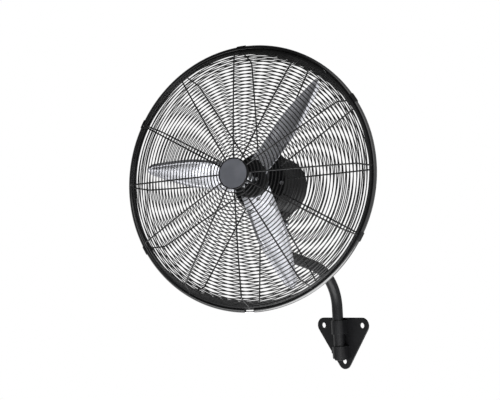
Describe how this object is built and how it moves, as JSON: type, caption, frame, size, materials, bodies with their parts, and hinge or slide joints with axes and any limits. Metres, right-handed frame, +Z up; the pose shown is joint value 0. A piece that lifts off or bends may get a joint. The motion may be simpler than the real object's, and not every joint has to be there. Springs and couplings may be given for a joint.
{
  "type": "wall mounted fan",
  "caption": "Industrial wall fan: a round wire cage with a three-blade wheel and motor on a bent tube arm, pipe-clamped to a triangular wall plate.",
  "frame": {"origin": "near the middle of the wall plate, on its back face, 40 mm below the line through its two upper screw holes", "axes": "+Y into the wall, -Y out into the room, +Z up, +X to the right seen from the room"},
  "size_m": [0.6516, 0.6163, 0.8998],
  "materials": {
    "black_paint": "gloss",
    "black_wire": "satin",
    "black_plastic": "matte",
    "grey_cap": "satin",
    "blade_aluminium": "brushed",
    "zinc_steel": "satin",
    "dark_steel": "satin"
  },
  "bodies": {
    "wall_bracket": {"wall_plate": "black_paint", "upper_clamp_strap": "black_paint", "upper_clamp_block": "black_paint", "upper_clamp_bolt": "black_paint", "lower_clamp_strap": "black_paint", "lower_clamp_block": "black_paint", "lower_clamp_bolt": "black_paint"},
    "arm": {"arm_tube": "black_paint", "tube_end_plug": "black_plastic"},
    "knuckle": {"post_head": "black_paint", "pinch_bolt": "black_paint", "pinch_nut": "black_paint"},
    "fan_head": {"tilt_clevis": "black_paint", "tilt_bolt": "zinc_steel", "tilt_nut": "zinc_steel", "motor_front_bell": "black_paint", "motor_rear_shell": "black_paint", "motor_stator": "dark_steel", "front_bearing": "zinc_steel", "rear_bearing": "zinc_steel", "cable_gland": "black_plastic", "front_guard": "black_wire", "rear_guard": "black_wire", "guard_mount_ring": "black_paint", "guard_bolt_1": "zinc_steel", "guard_bolt_2": "zinc_steel", "guard_bolt_3": "zinc_steel", "guard_bolt_4": "zinc_steel", "guard_hoop": "black_paint", "hoop_bolt": "zinc_steel", "hoop_nut": "zinc_steel", "hoop_clip_1": "black_paint", "hoop_clip_2": "black_paint", "hoop_clip_3": "black_paint", "hoop_clip_4": "black_paint", "hoop_clip_5": "black_paint", "front_cap": "grey_cap", "cap_backing_plate": "black_paint", "cap_screw": "zinc_steel"},
    "fan_wheel": {"motor_shaft": "zinc_steel", "motor_rotor_core": "dark_steel", "hub_boss": "dark_steel", "blade_spider": "dark_steel", "hub_plate": "black_paint", "boss_set_screw": "zinc_steel", "hub_screw_1": "zinc_steel", "hub_screw_2": "zinc_steel", "hub_screw_3": "zinc_steel", "blade_1": "blade_aluminium", "blade_2": "blade_aluminium", "blade_3": "blade_aluminium", "blade_1_rivet_1": "zinc_steel", "blade_1_rivet_2": "zinc_steel", "blade_1_rivet_3": "zinc_steel", "blade_2_rivet_1": "zinc_steel", "blade_2_rivet_2": "zinc_steel", "blade_2_rivet_3": "zinc_steel", "blade_3_rivet_1": "zinc_steel", "blade_3_rivet_2": "zinc_steel", "blade_3_rivet_3": "zinc_steel"}
  },
  "joints": [
    {"name": "arm_swing", "type": "hinge", "parent": "wall_bracket", "child": "arm", "pos_m": [0, -0.0245, 0], "axis": [0, 0, 1], "range_deg": [-30, 30]},
    {"name": "head_swivel", "type": "hinge", "parent": "arm", "child": "knuckle", "pos_m": [0, -0.2765, 0.34], "axis": [0, 0, 1], "range_deg": [-66.7, 23.3]},
    {"name": "head_tilt", "type": "hinge", "parent": "knuckle", "child": "fan_head", "pos_m": [0, -0.2765, 0.34], "axis": [0.9291, 0.3697, 0], "range_deg": [-17.2, 22.8]},
    {"name": "wheel_spin", "type": "hinge", "parent": "fan_head", "child": "fan_wheel", "pos_m": [0.06962, -0.45145, 0.45934], "axis": [0.3693, -0.928, 0.0489], "continuous": true}
  ]
}
